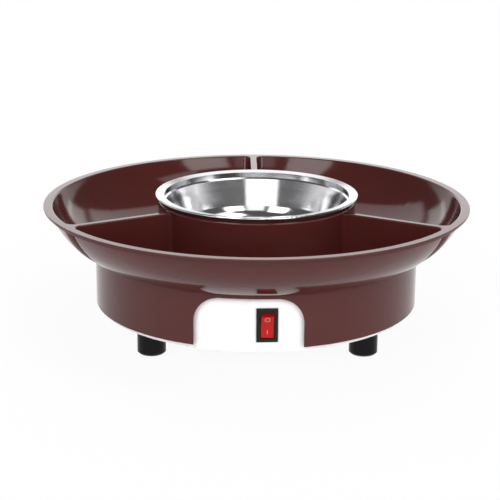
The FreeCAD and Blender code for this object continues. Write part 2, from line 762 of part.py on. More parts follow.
foot_places = [at_angle(base_radius - foot_inset, angle) for angle in FEET.values()]
base_bottom_plate = spun_part("base_bottom_plate", [
    (0, base_bottom),
    (tub_inside - part_gap, base_bottom),
    (tub_inside - part_gap, bottom_top),
    (0, bottom_top),
])
foot_bosses = new_sketch(base_bottom_plate, "XY_Plane", offset=bottom_top,
                         circles=[(x, y, boss_radius) for x, y in foot_places])
pad(base_bottom_plate, foot_bosses, foot_boss_height)
clamp_places = [(clamp_pitch * side, clamp_bar_place) for side in (-1, 1)]
clamp_bar_under = gland_height + gland_bore - part_gap
posts = new_sketch(base_bottom_plate, "XY_Plane", offset=bottom_top,
                   circles=[(x, y, clamp_post) for x, y in clamp_places])
pad(base_bottom_plate, posts, clamp_bar_under - bottom_top)
post_holes = new_sketch(base_bottom_plate, "XY_Plane", offset=clamp_bar_under,
                        circles=[(x, y, screw_hole) for x, y in clamp_places])
pocket(base_bottom_plate, post_holes, clamp_screw_bite + tip_gap)
foot_holes = new_sketch(base_bottom_plate, "XY_Plane", offset=base_bottom,
                        circles=[(x, y, screw_hole) for x, y in foot_places])
pocket(base_bottom_plate, foot_holes, base_wall + foot_screw_bite + tip_gap, back=True)
plate_holes = new_sketch(base_bottom_plate, "XY_Plane", offset=base_bottom,
                         circles=[(x, y, screw_hole) for x, y in boss_places])
pocket(base_bottom_plate, plate_holes, base_wall * 2, back=True)
vent_end = vent_width / 2
vent_outer = vent_inner + vent_length
vent = new_sketch(base_bottom_plate, "XY_Plane", offset=base_bottom, outlines=[[
    (vent_inner, vent_end * -1),
    (vent_outer, vent_end * -1, vent_end),
    (vent_outer + vent_end, 0, vent_end),
    (vent_outer, vent_end),
    (vent_inner, vent_end, vent_end),
    (vent_inner - vent_end, 0, vent_end),
]])
vent_cut = pocket(base_bottom_plate, vent, base_wall * 2, back=True)
polar(base_bottom_plate, VENTS, [vent_cut])


# Feet and the screws from below

feet = []
for (label, angle), (x, y) in zip(FEET.items(), foot_places):
    foot = spun_part(label, [
        (screw_hole, foot_seat),
        (foot_bore, foot_seat),
        (foot_bore, 0),
        (foot_radius - foot_chamfer, 0),
        (foot_radius, foot_chamfer),
        (foot_radius, base_bottom),
        (screw_hole, base_bottom),
    ])
    set_place(foot, x, y)
    feet.append(foot)


def screw_group(label, places, head_at, tip_at):
    """Pan-head screws along Z, each from the seat of its head to its tip."""
    body = new_body(label)
    upwards = number(tip_at) > number(head_at)
    heads = new_sketch(body, "XY_Plane", offset=head_at,
                       circles=[(x, y, screw_head) for x, y in places])
    pad(body, heads, screw_head_height, back=upwards)
    shanks = new_sketch(body, "XY_Plane", offset=head_at,
                        circles=[(x, y, screw_shank) for x, y in places])
    pad(body, shanks, tip_at - head_at if upwards else head_at - tip_at, back=not upwards)
    return body


foot_screws = screw_group("foot_screws", foot_places, foot_seat,
                          bottom_top + foot_screw_bite)
housing_screws = screw_group("housing_screws", boss_places, base_bottom,
                             bottom_top + screw_bite)


# Hot plate, seal and heater, clamped through the tub's deck

clamp_screw_places = [at_angle(mica_radius - clamp_screw_inset, a) for a in DIVIDER_ANGLES]
stud_places = [(stud_place * side, stud_back) for side in (-1, 1)]
stud_hole = screw_shank + stud_gap


def holes_at(body, places, radius, start, depth):
    """Round holes cut upwards from a height."""
    sketch = new_sketch(body, "XY_Plane", offset=start,
                        circles=[(x, y, radius) for x, y in places])
    pocket(body, sketch, depth, back=True)


heating_plate = spun_part("heating_plate", [
    (0, boss_under),
    (plate_boss, boss_under),
    (plate_boss, plate_under),
    (plate_radius, plate_under),
    (plate_radius, plate_top),
    (0, plate_top),
])
round_edges(heating_plate, plate_round, lambda e: level_edge(e, plate_top)
            and near(e.Curve.Radius, plate_radius))
holes_at(heating_plate, clamp_screw_places, screw_hole, boss_under, plate_screw_bite + tip_gap)

plate_seal = spun_part("plate_seal", [
    (plate_boss + part_gap, deck_top),
    (plate_radius + seal_rim, deck_top),
    (plate_radius + seal_rim, plate_under),
    (plate_radius + part_gap, plate_under),
    (plate_boss + part_gap, plate_under),
])


def heater_disc(label, radius, low, high, bore=0):
    """A flat disc of the heater, pierced for the clamp screws."""
    disc = spun_part(label, [(bore, low), (radius, low), (radius, high), (bore, high)])
    holes_at(disc, clamp_screw_places, screw_hole, low, high - low)
    return disc


upper_mica = heater_disc("upper_mica", mica_radius, element_top, boss_under)
heating_element = heater_disc("heating_element", mica_radius - element_inset,
                              element_under, element_top, element_bore)
lower_mica = heater_disc("lower_mica", mica_radius, stack_under, element_under)
clamp_cup = mica_radius + part_gap
heater_clamp = spun_part("heater_clamp", [
    (0, clamp_under),
    (clamp_cup + clamp_sheet, clamp_under),
    (clamp_cup + clamp_sheet, deck_under - clamp_sheet),
    (deck_hole + clamp_rim, deck_under - clamp_sheet),
    (deck_hole + clamp_rim, deck_under),
    (clamp_cup, deck_under),
    (clamp_cup, stack_under),
    (0, stack_under),
])
holes_at(heater_clamp, clamp_screw_places, screw_hole, clamp_under, clamp_sheet)

# The element's two studs come down through the lower mica and the clamp
stud_end = clamp_under - stud_length
studs = new_sketch(heating_element, "XY_Plane", offset=stud_end,
                   circles=[(x, y, screw_shank) for x, y in stud_places])
pad(heating_element, studs, element_under - stud_end)
holes_at(lower_mica, stud_places, stud_hole, stack_under, mica_thickness)
holes_at(heater_clamp, stud_places, stud_hole, clamp_under, clamp_sheet)
clamp_screws = screw_group("clamp_screws", clamp_screw_places, clamp_under,
                           boss_under + plate_screw_bite)


# Thermostat and thermal fuse under the clamp

ear_places = [(ear_circle * side, 0) for side in (-1, 1)]
thermostat = new_body("thermostat")
can = new_sketch(thermostat, "XY_Plane", offset=clamp_under,
                 circles=[(0, 0, thermostat_radius)])
pad(thermostat, can, thermostat_height, back=True)
ear_end = ear_circle + screw_head
ears = new_sketch(thermostat, "XY_Plane", offset=clamp_under, outlines=[[
    (ear_end * -1, screw_head * -1),
    (ear_end, screw_head * -1),
    (ear_end, screw_head),
    (ear_end * -1, screw_head),
]])
pad(thermostat, ears, ear_thickness, back=True)
tabs = new_sketch(thermostat, "XY_Plane", offset=clamp_under - thermostat_height, outlines=[
    box_corners(tab_place * side, 0, tab_thickness, tab_width) for side in (-1, 1)])
pad(thermostat, tabs, tab_length, back=True)
holes_at(thermostat, ear_places, screw_hole, clamp_under - ear_thickness, ear_thickness)
ear_grip = clamp_sheet - part_gap
holes_at(heater_clamp, ear_places, screw_hole, clamp_under, ear_grip)
thermostat_screws = screw_group("thermostat_screws", ear_places,
                                clamp_under - ear_thickness, clamp_under + ear_grip - part_gap)

fuse_axis = clamp_under - fuse_radius - part_gap
thermal_fuse = new_body("thermal_fuse")
fuse_round = new_sketch(thermal_fuse, "XZ_Plane", circles=[(fuse_offset, fuse_axis, fuse_radius)])
pad(thermal_fuse, fuse_round, fuse_length, side="Symmetric")

# The clip goes round the fuse and lies flat under the clamp on both sides
clip_inner = fuse_radius + part_gap
clip_outer = clip_inner + clip_sheet
clip_wing = clip_outer + screw_head
fuse_clip = new_body("fuse_clip")
clip_side = new_sketch(fuse_clip, "XZ_Plane", [[
    (fuse_offset - clip_wing, clamp_under),
    (fuse_offset - clip_wing, clamp_under - clip_sheet),
    (fuse_offset - clip_outer, clamp_under - clip_sheet),
    (fuse_offset - clip_outer, fuse_axis, clip_outer),
    (fuse_offset, fuse_axis - clip_outer, clip_outer),
    (fuse_offset + clip_outer, fuse_axis),
    (fuse_offset + clip_outer, clamp_under - clip_sheet),
    (fuse_offset + clip_wing, clamp_under - clip_sheet),
    (fuse_offset + clip_wing, clamp_under),
    (fuse_offset + clip_inner, clamp_under),
    (fuse_offset + clip_inner, fuse_axis, clip_inner * -1),
    (fuse_offset, fuse_axis - clip_inner, clip_inner * -1),
    (fuse_offset - clip_inner, fuse_axis),
    (fuse_offset - clip_inner, clamp_under),
]])
pad(fuse_clip, clip_side, clip_width, side="Symmetric")


# Rocker switch, drawn from the middle of its bezel's front, with +Y inwards

def switch_part(label, inward=None):
    """A body that is placed at the switch, moved in behind the bezel's front."""
    body = new_body(label)
    radius = bezel_front if inward is None else bezel_front - inward
    x, y = at_angle(radius, switch_angle - 90)
    set_place(body, x, y, switch_height, switch_angle)
    return body


tilt_sine = Size(math.sin(math.radians(rocker_tilt.value)), "sin(%s * 1 deg)" % rocker_tilt.text)
recess_depth = pivot_depth + rocker_back + rocker_radius * tilt_sine + rocker_gap
recess_width = rocker_width + rocker_gap * 2
recess_height = (rocker_radius + rocker_gap) * 2
switch_back = bezel_depth + switch_body_depth
lamp_seat = recess_depth + lamp_radius * 2 + part_gap

switch_housing = switch_part("switch_housing")
bezel = new_sketch(switch_housing, "XZ_Plane", [box_corners(0, 0, bezel_width, bezel_height)])
pad(switch_housing, bezel, bezel_depth, back=True)
round_edges(switch_housing, bezel_round, lambda e: abs(e.CenterOfMass.y) < 0.001)
body_block = new_sketch(switch_housing, "XZ_Plane", [box_corners(
    0, 0, switch_body_width, switch_body_height)], offset=bezel_depth * -1)
pad(switch_housing, body_block, switch_body_depth, back=True)
recess = new_sketch(switch_housing, "XZ_Plane", [box_corners(
    0, 0, recess_width, recess_height)])
pocket(switch_housing, recess, recess_depth)
lamp_room = new_sketch(switch_housing, "XZ_Plane", [box_corners(
    0, 0, lamp_radius * 2 + part_gap * 2, lamp_length + part_gap * 2)])
pocket(switch_housing, lamp_room, lamp_seat)
sockets = new_sketch(switch_housing, "YZ_Plane", circles=[(pivot_depth, 0, pivot_pin + pivot_fit)])
pocket(switch_housing, sockets, recess_width + (pivot_reach + part_gap) * 2, side="Symmetric")

# The rocker leans with its lower half pressed in, which is switched on
switch_rocker = switch_part("switch_rocker", pivot_depth)


def on_rocker(depth):
    """Half the rocker's height at a depth, where its rounded ends pass."""
    value = math.sqrt(rocker_radius.value ** 2 - depth.value ** 2)
    return Size(value, "sqrt(%s^2 - %s^2)" % (rocker_radius.text, depth.text))


rocker_side = new_sketch(switch_rocker, "YZ_Plane", [[
    (rocker_back, on_rocker(rocker_back) * -1),
    (rocker_back, on_rocker(rocker_back), rocker_radius),
    (rocker_ends * -1, on_rocker(rocker_ends)),
    (rocker_dip * -1, 0),
    (rocker_ends * -1, on_rocker(rocker_ends) * -1, rocker_radius),
]])
pad(switch_rocker, rocker_side, rocker_width, side="Symmetric")
pins = new_sketch(switch_rocker, "YZ_Plane", circles=[(0, 0, pivot_pin)])
pad(switch_rocker, pins, recess_width + pivot_reach * 2, side="Symmetric")
for sketch in (rocker_side, pins):
    sketch.setExpression("AttachmentOffset.Rotation.Angle", rocker_tilt.text + " * 1 deg")

switch_lamp = switch_part("switch_lamp", recess_depth + lamp_radius)
lamp_round = new_sketch(switch_lamp, "XY_Plane", circles=[(0, 0, lamp_radius)])
pad(switch_lamp, lamp_round, lamp_length, side="Symmetric")

switch_terminals = switch_part("switch_terminals", switch_back)
blades = new_sketch(switch_terminals, "XZ_Plane", [box_corners(
    0, blade_pitch * step, blade_width, blade_thickness) for step in (-1, 0, 1)])
pad(switch_terminals, blades, blade_length, back=True)


# Terminal block, cord gland and cord clamp

way_places = [block_pitch * step for step in (-1, 0, 1)]
way_axis = bottom_top + way_height
terminal_block = new_body("terminal_block")
block_plan = new_sketch(terminal_block, "XY_Plane", offset=bottom_top, outlines=[box_corners(
    0, block_place, block_width, block_depth)])
pad(terminal_block, block_plan, block_height)
ways = new_sketch(terminal_block, "XZ_Plane",
                  circles=[(x, way_axis, block_bore) for x in way_places])
pocket(terminal_block, ways, block_place * 2)
screw_wells = new_sketch(terminal_block, "XY_Plane", offset=way_axis,
                         circles=[(x, block_place, block_screw + screw_fit) for x in way_places])
pocket(terminal_block, screw_wells, block_height, back=True)

terminal_screws = new_body("terminal_screws")
screw_rounds = new_sketch(terminal_screws, "XY_Plane", offset=way_axis + lead_radius + screw_fit,
                          circles=[(x, block_place, block_screw) for x in way_places])
pad(terminal_screws, screw_rounds, block_screw_length)

cord_gland = new_body("cord_gland")
flange = new_sketch(cord_gland, "XZ_Plane", circles=[(0, 0, gland_flange)])
pad(cord_gland, flange, gland_thickness, back=True)
round_edges(cord_gland, gland_round, lambda e: near(e.CenterOfMass.y, gland_thickness)
            and near(e.Curve.Radius, gland_flange))
sleeve = new_sketch(cord_gland, "XZ_Plane", circles=[(0, 0, gland_body)])
pad(cord_gland, sleeve, base_wall + gland_tail)
gland_way = new_sketch(cord_gland, "XZ_Plane", circles=[(0, 0, gland_bore)])
pocket(cord_gland, gland_way, (base_wall + gland_tail + gland_thickness) * 2, side="Symmetric")
set_place(cord_gland, 0, base_radius - seat_depth, gland_height)

cord_clamp = new_body("cord_clamp")
bar = new_sketch(cord_clamp, "XY_Plane", offset=clamp_bar_under, outlines=[box_corners(
    0, clamp_bar_place, clamp_bar_width, clamp_bar_depth)])
pad(cord_clamp, bar, clamp_bar_height)
holes_at(cord_clamp, clamp_places, screw_hole, clamp_bar_under, clamp_bar_height)
cord_clamp_screws = screw_group("cord_clamp_screws", clamp_places,
                                clamp_bar_under + clamp_bar_height,
                                clamp_bar_under - clamp_screw_bite)


# Inner leads: straight runs joined by tangent arcs

ARC_SHARE = 0.45
LEAD_OUT = 15.0
FUSE_RUN = 6.0


def lead_path(points):
    """Edges along the points, and the smallest radius of their arcs."""
    edges = []
    radii = []
    start = points[0]
    for before, corner, after in zip(points, points[1:], points[2:]):
        back = (before - corner)
        ahead = (after - corner)
        cut = ARC_SHARE * min(back.Length, ahead.Length)
        turn = math.pi - back.getAngle(ahead)
        radius = cut / math.tan(turn / 2)
        back.normalize()
        ahead.normalize()
        middle = (back + ahead).normalize() * (radius / math.cos(turn / 2) - radius)
        arc_start = corner + back * cut
        arc_end = corner + ahead * cut
        edges.append(Part.LineSegment(start, arc_start).toShape())
        edges.append(Part.Arc(arc_start, corner + middle, arc_end).toShape())
        radii.append(radius)
        start = arc_end
    edges.append(Part.LineSegment(start, points[-1]).toShape())
    return edges, min(radii)


def lead(label, places):
    """An insulated lead through a list of places."""
    points = [FreeCAD.Vector(*[number(c) for c in place]) for place in places]
    edges, tightest = lead_path(points)
    path = Part.Wire(edges)
    radius = lead_radius.value
    section = Part.Wire(Part.Circle(points[0], points[1] - points[0], radius).toShape())
    tube = path.makePipeShell([section], True, False)
    expected = math.pi * radius ** 2 * path.Length
    if abs(tube.Volume - expected) > 0.02 * expected:
        raise RuntimeError("%s has the wrong volume" % label)
    print("%s: %.0f mm long, tightest radius %.1f mm" % (label, path.Length, tightest))
    part = doc.addObject("Part::Feature", label)
    part.Label = label
    part.Shape = tube
    part.Placement = FreeCAD.Placement()
    return part


blade_x, blade_y = at_angle(bezel_front - switch_back - blade_length, switch_angle - 90)
inner_x, inner_y = at_angle(bezel_front - switch_back - blade_length - LEAD_OUT, switch_angle - 90)
tab_end = clamp_under - thermostat_height - tab_length
live_z = switch_height + blade_pitch
lamp_z = switch_height - blade_pitch
way_x = block_pitch
way_front = block_place - block_depth
stud_x, stud_y = stud_places[1]
fuse_end = fuse_length / 2
fuse_bend = fuse_end + FUSE_RUN

leads = [
    lead("lead_line", [
        (way_x * -1, block_place, way_axis), (way_x * -1, way_front, way_axis),
        (-13, 18, 20), (-15, -10, 20), (-9, -36, 24), (-1, -56, 33),
        (inner_x, inner_y, live_z), (blade_x, blade_y, live_z)]),
    lead("lead_switched", [
        (blade_x, blade_y, switch_height), (inner_x, inner_y, switch_height),
        (-1, -48, 26), (-6, -28, 21), (-7, -10, 19),
        (tab_place * -1, 0, 22), (tab_place * -1, 0, tab_end)]),
    lead("lead_fused", [
        (tab_place, 0, tab_end), (tab_place, 0, 24), (10, -7, 22), (17, -14, 27),
        (23, -18, 36), (fuse_offset, fuse_bend * -1, fuse_axis),
        (fuse_offset, fuse_end * -1, fuse_axis)]),
    lead("lead_element", [
        (fuse_offset, fuse_end, fuse_axis), (fuse_offset, fuse_bend, fuse_axis),
        (22, 17, 37), (16, 17, 32), (stud_x, stud_y, 33), (stud_x, stud_y, stud_end)]),
    lead("lead_neutral", [
        (stud_x * -1, stud_y, stud_end), (stud_x * -1, stud_y, 33), (-8, 21, 27),
        (1, 30, 24), (way_x, way_front - 2, way_axis), (way_x, block_place, way_axis)]),
    lead("lead_lamp", [
        (blade_x, blade_y, lamp_z), (inner_x, inner_y, lamp_z), (11, -46, 20),
        (18, -18, 20), (18, 6, 20), (8, 26, 20.5), (0, way_front - 2, way_axis),
        (0, block_place, way_axis)]),
]

nodes = [
    serving_tray, tray_skirt, melting_bowl, base_housing, base_bottom_plate, *feet,
    foot_screws, housing_screws, heating_plate, plate_seal, upper_mica, heating_element,
    lower_mica, heater_clamp, clamp_screws, thermostat, thermostat_screws, thermal_fuse,
    fuse_clip, switch_housing, switch_rocker, switch_lamp, switch_terminals,
    terminal_block, terminal_screws, cord_gland, cord_clamp, cord_clamp_screws, *leads,
]


# Checks, then one STEP file for each piece

doc.recompute()
for thing in doc.Objects:
    if "Invalid" in thing.State or "Error" in thing.State:
        raise RuntimeError("%s did not build: %s" % (thing.Label, thing.State))
for node in nodes:
    if node.Shape.isNull() or not node.Shape.isValid():
        raise RuntimeError("%s is not a valid solid" % node.Label)
for node in nodes:
    node.Shape.exportStep("parts/%s.step" % node.Label)
print("%d nodes written" % len(nodes))
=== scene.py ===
# %% [markdown]
# # A chocolate melter, dressed for a product picture
# The solid parts of the melter come ready made, in metres, each in its real place. This
# script gives every one of them a finish, adds the few things that are too fine for the
# solids, and sets up the camera, the lights and the floor. It reads from top to bottom as
# a lesson: each step first says what the real thing is like, then makes it.

# %% Load the parts
import json
import math

import bmesh
import bpy
from mathutils import Matrix, Vector
from mathutils.bvhtree import BVHTree


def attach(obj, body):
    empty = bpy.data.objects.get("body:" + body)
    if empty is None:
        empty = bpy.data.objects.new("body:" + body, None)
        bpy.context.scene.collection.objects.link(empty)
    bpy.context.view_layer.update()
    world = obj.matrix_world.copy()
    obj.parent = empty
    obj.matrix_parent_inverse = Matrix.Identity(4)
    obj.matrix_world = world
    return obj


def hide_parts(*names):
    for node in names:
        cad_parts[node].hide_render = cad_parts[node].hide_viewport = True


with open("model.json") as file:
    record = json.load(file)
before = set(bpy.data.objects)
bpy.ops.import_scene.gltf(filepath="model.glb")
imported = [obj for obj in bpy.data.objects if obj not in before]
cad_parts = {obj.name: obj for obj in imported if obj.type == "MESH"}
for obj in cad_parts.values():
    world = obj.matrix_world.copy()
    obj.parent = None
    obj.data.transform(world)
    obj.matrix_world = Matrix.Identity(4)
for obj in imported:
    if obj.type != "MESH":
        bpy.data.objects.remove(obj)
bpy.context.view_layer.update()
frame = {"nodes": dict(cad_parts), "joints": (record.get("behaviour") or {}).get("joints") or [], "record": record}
parts = frame["nodes"]
print("parts:", len(parts))

# %% [markdown]
# ## A small kit for materials
# Every finish here is a node tree: textures that change over the surface feed the sockets
# of a Principled shader. Writing such trees is mostly adding nodes and joining sockets, so
# three short helpers do that. Values that are the same all over stay on the shader itself.

# %% Helpers for node trees
def add(tree, kind, **settings):
    """A node of a kind such as 'TexNoise', with its settings."""
    node = tree.nodes.new("ShaderNode" + kind)
    for name, value in settings.items():
        setattr(node, name, value)
    return node


def join(tree, source, target):
    tree.links.new(source, target)


def shader(name, **values):
    """A new material and its Principled shader, with constants set on its sockets."""
    material = bpy.data.materials.new(name)
    material.use_nodes = True
    tree = material.node_tree
    surface = tree.nodes["Principled BSDF"]
    for socket, value in values.items():
        surface.inputs[socket.replace("_", " ")].default_value = value
    return material, tree, surface


def place(tree):
    """Object coordinates: every part sits at the origin, so these are metres."""
    return add(tree, "TexCoord").outputs["Object"]


# %% [markdown]
# ## Two effects that many finishes share
# Injection-moulded plastic is never perfectly even: it has a very faint ripple, like orange
# peel, and its gloss changes slowly from place to place. Handled things also carry hair
# scratches and dust specks. Both effects are node groups with named sockets, built once and
# then used in many materials with their own values. They put out only masks and heights.

# %% Group: moulded skin
def new_group(name, inputs, outputs):
    group = bpy.data.node_groups.new(name, "ShaderNodeTree")
    for label, kind, value in inputs:
        socket = group.interface.new_socket(label, in_out="INPUT", socket_type=kind)
        if value is not None:
            socket.default_value = value
    for label, kind in outputs:
        group.interface.new_socket(label, in_out="OUTPUT", socket_type=kind)
    return group, group.nodes.new("NodeGroupInput"), group.nodes.new("NodeGroupOutput")


def moulded_skin_group():
    group, given, made = new_group(
        "moulded_skin",
        [("Place", "NodeSocketVector", None), ("Ripple Scale", "NodeSocketFloat", 900.0),
         ("Cloud Scale", "NodeSocketFloat", 14.0)],
        [("Height", "NodeSocketFloat"), ("Clouds", "NodeSocketFloat")])
    ripple = add(group, "TexNoise", noise_dimensions="3D")
    ripple.inputs["Detail"].default_value = 1.0
    clouds = add(group, "TexNoise", noise_dimensions="3D")
    clouds.inputs["Detail"].default_value = 3.0
    join(group, given.outputs["Place"], ripple.inputs["Vector"])
    join(group, given.outputs["Place"], clouds.inputs["Vector"])
    join(group, given.outputs["Ripple Scale"], ripple.inputs["Scale"])
    join(group, given.outputs["Cloud Scale"], clouds.inputs["Scale"])
    join(group, ripple.outputs["Fac"], made.inputs["Height"])
    join(group, clouds.outputs["Fac"], made.inputs["Clouds"])
    return group


def handling_group():
    group, given, made = new_group(
        "handling",
        [("Place", "NodeSocketVector", None), ("Scratch Scale", "NodeSocketFloat", 60.0),
         ("Dust Scale", "NodeSocketFloat", 700.0)],
        [("Scratches", "NodeSocketFloat"), ("Dust", "NodeSocketFloat")])
    stretch = add(group, "Mapping")
    stretch.inputs["Rotation"].default_value = (0.5, 0.3, 0.9)
    stretch.inputs["Scale"].default_value = (1.0, 24.0, 6.0)
    hairs = add(group, "TexNoise", noise_dimensions="3D")
    hairs.inputs["Detail"].default_value = 2.0
    hair_mask = add(group, "ValToRGB")
    hair_mask.color_ramp.elements[0].position = 0.66
    hair_mask.color_ramp.elements[1].position = 0.72
    specks = add(group, "TexVoronoi", feature="F1")
    speck_mask = add(group, "ValToRGB")
    speck_mask.color_ramp.elements[0].position = 0.05
    speck_mask.color_ramp.elements[0].color = (1, 1, 1, 1)
    speck_mask.color_ramp.elements[1].position = 0.10
    speck_mask.color_ramp.elements[1].color = (0, 0, 0, 1)
    join(group, given.outputs["Place"], stretch.inputs["Vector"])
    join(group, stretch.outputs["Vector"], hairs.inputs["Vector"])
    join(group, given.outputs["Scratch Scale"], hairs.inputs["Scale"])
    join(group, hairs.outputs["Fac"], hair_mask.inputs["Fac"])
    join(group, given.outputs["Place"], specks.inputs["Vector"])
    join(group, given.outputs["Dust Scale"], specks.inputs["Scale"])
    join(group, specks.outputs["Distance"], speck_mask.inputs["Fac"])
    join(group, hair_mask.outputs["Color"], made.inputs["Scratches"])
    join(group, speck_mask.outputs["Color"], made.inputs["Dust"])
    return group


moulded_skin = moulded_skin_group()
handling = handling_group()
print("shared effects:", moulded_skin.name, handling.name)

# %% [markdown]
# ## Plastics
# One function makes all the hard plastics: a base colour that drifts a little between two
# tones, a gloss that follows the same slow clouds, and the ripple as a bump. The bump's
# distance is in metres, so a hundredth of a millimetre is written as 0.00001.

# %% Plastics
def drift(tree, mask, low, high, socket):
    """Feed a socket with a value that moves between low and high with a mask."""
    span = add(tree, "MapRange")
    span.inputs["To Min"].default_value = low
    span.inputs["To Max"].default_value = high
    join(tree, mask, span.inputs["Value"])
    join(tree, span.outputs["Result"], socket)


def two_tones(tree, mask, dark, light, socket):
    """Feed a colour socket with a colour that moves between two tones with a mask."""
    tones = add(tree, "ValToRGB")
    tones.color_ramp.elements[0].position = 0.3
    tones.color_ramp.elements[0].color = (*dark, 1)
    tones.color_ramp.elements[1].position = 0.7
    tones.color_ramp.elements[1].color = (*light, 1)
    join(tree, mask, tones.inputs["Fac"])
    join(tree, tones.outputs["Color"], socket)


def add_group(tree, group, **values):
    node = add(tree, "Group", node_tree=group)
    join(tree, place(tree), node.inputs["Place"])
    for name, value in values.items():
        node.inputs[name.replace("_", " ")].default_value = value
    return node


def plastic(name, dark, light, gloss, ripple=0.00001, ripple_scale=900.0, **values):
    """A moulded plastic: gloss is its lowest and highest roughness."""
    material, tree, surface = shader(name, **values)
    skin = add_group(tree, moulded_skin, Ripple_Scale=ripple_scale)
    two_tones(tree, skin.outputs["Clouds"], dark, light, surface.inputs["Base Color"])
    drift(tree, skin.outputs["Clouds"], *gloss, surface.inputs["Roughness"])
    bump = add(tree, "Bump")
    bump.inputs["Distance"].default_value = ripple
    join(tree, skin.outputs["Height"], bump.inputs["Height"])
    join(tree, bump.outputs["Normal"], surface.inputs["Normal"])
    return material


finishes = {
    "brown_gloss": plastic("brown_gloss", (0.069, 0.0140, 0.0120), (0.077, 0.0160, 0.0137),
                           (0.08, 0.12), Specular_IOR_Level=0.33),
    "white_gloss": plastic("white_gloss", (0.86, 0.86, 0.86), (0.90, 0.90, 0.90), (0.22, 0.30)),
    "black_rubber": plastic("black_rubber", (0.003, 0.003, 0.003), (0.004, 0.004, 0.004),
                            (0.14, 0.22), ripple=0.00002, Specular_IOR_Level=0.14),
    "black_plastic": plastic("black_plastic", (0.007, 0.008, 0.007), (0.010, 0.011, 0.010),
                             (0.30, 0.38), ripple=0.00002, ripple_scale=2500.0,
                             Specular_IOR_Level=0.20),
    "red_clear": plastic("red_clear", (0.34, 0.004, 0.002), (0.42, 0.006, 0.004), (0.10, 0.16),
                         Specular_IOR_Level=0.25),
    "natural_plastic": plastic("natural_plastic", (0.70, 0.67, 0.58), (0.76, 0.73, 0.64),
                               (0.40, 0.50)),
    "bimetal_housing": plastic("bimetal_housing", (0.030, 0.026, 0.022), (0.045, 0.038, 0.030),
                               (0.45, 0.60)),
    "silicone": plastic("silicone", (0.66, 0.66, 0.64), (0.74, 0.74, 0.72), (0.42, 0.52)),
    "lead_brown": plastic("lead_brown", (0.080, 0.034, 0.014), (0.100, 0.042, 0.018),
                          (0.38, 0.48)),
    "lead_blue": plastic("lead_blue", (0.014, 0.050, 0.26), (0.018, 0.060, 0.31), (0.38, 0.48)),
}
print("plastics:", len(finishes))

# %% [markdown]
# ## Metals and the small rest
# The bowl is polished stainless steel: a mirror with a fine grain, which breaks up the
# edges of its reflections. Its grain runs round the bowl, because it was polished while it
# spun, so the grain's texture is stretched along the circle by reading the radius and the
# height, not X and Y. The other metals are duller and share one function.

# %% Metals
METAL_GRAIN = 0.000004
DULL_SHARE = 0.86


def metal(name, tint, gloss):
    """A duller metal: gloss is its lowest and highest roughness."""
    material, tree, surface = shader(name, Metallic=1.0)
    marks = add_group(tree, handling)
    skin = add_group(tree, moulded_skin, Ripple_Scale=2600.0, Cloud_Scale=40.0)
    dull = [c * DULL_SHARE for c in tint]
    two_tones(tree, skin.outputs["Clouds"], dull, tint, surface.inputs["Base Color"])
    spread = add(tree, "Math", operation="MAXIMUM")
    join(tree, skin.outputs["Clouds"], spread.inputs[0])
    join(tree, marks.outputs["Scratches"], spread.inputs[1])
    drift(tree, spread.outputs["Value"], *gloss, surface.inputs["Roughness"])
    bump = add(tree, "Bump")
    bump.inputs["Distance"].default_value = METAL_GRAIN
    join(tree, skin.outputs["Height"], bump.inputs["Height"])
    join(tree, bump.outputs["Normal"], surface.inputs["Normal"])
    return material


def spun_steel(name):
    """Polished steel whose grain runs round the Z axis."""
    material, tree, surface = shader(name, Metallic=1.0)
    at = place(tree)
    split = add(tree, "SeparateXYZ")
    flat = add(tree, "VectorMath", operation="MULTIPLY")
    flat.inputs[1].default_value = (1, 1, 0)
    radius = add(tree, "VectorMath", operation="LENGTH")
    rings = add(tree, "CombineXYZ")
    grain = add(tree, "TexNoise", noise_dimensions="3D")
    grain.inputs["Scale"].default_value = 2200.0
    grain.inputs["Detail"].default_value = 2.0
    sparkle = add(tree, "TexNoise", noise_dimensions="3D")
    sparkle.inputs["Scale"].default_value = 2000.0
    sparkle.inputs["Detail"].default_value = 1.0
    join(tree, at, split.inputs["Vector"])
    join(tree, at, flat.inputs[0])
    join(tree, flat.outputs["Vector"], radius.inputs[0])
    join(tree, radius.outputs["Value"], rings.inputs["X"])
    join(tree, split.outputs["Z"], rings.inputs["Z"])
    join(tree, rings.outputs["Vector"], grain.inputs["Vector"])
    join(tree, at, sparkle.inputs["Vector"])
    mixed = add(tree, "Math", operation="ADD")
    join(tree, grain.outputs["Fac"], mixed.inputs[0])
    join(tree, sparkle.outputs["Fac"], mixed.inputs[1])
    bump = add(tree, "Bump")
    bump.inputs["Distance"].default_value = 0.000014
    join(tree, mixed.outputs["Value"], bump.inputs["Height"])
    join(tree, bump.outputs["Normal"], surface.inputs["Normal"])
    two_tones(tree, sparkle.outputs["Fac"], (0.54, 0.54, 0.55), (0.62, 0.62, 0.63),
              surface.inputs["Base Color"])
    drift(tree, grain.outputs["Fac"], 0.08, 0.15, surface.inputs["Roughness"])
    return material


def flaky_mica(name):
    material, tree, surface = shader(name)
    flakes = add(tree, "TexVoronoi", feature="F1")
    flakes.inputs["Scale"].default_value = 420.0
    join(tree, place(tree), flakes.inputs["Vector"])
    two_tones(tree, flakes.outputs["Distance"], (0.42, 0.34, 0.20), (0.60, 0.52, 0.36),
              surface.inputs["Base Color"])
    drift(tree, flakes.outputs["Distance"], 0.30, 0.55, surface.inputs["Roughness"])
    return material


def lamp_glass(name):
    material, tree, surface = shader(name, Transmission_Weight=1.0, IOR=1.5)
    skin = add_group(tree, moulded_skin)
    two_tones(tree, skin.outputs["Clouds"], (0.95, 0.78, 0.66), (0.98, 0.86, 0.76),
              surface.inputs["Base Color"])
    drift(tree, skin.outputs["Clouds"], 0.02, 0.06, surface.inputs["Roughness"])
    return material


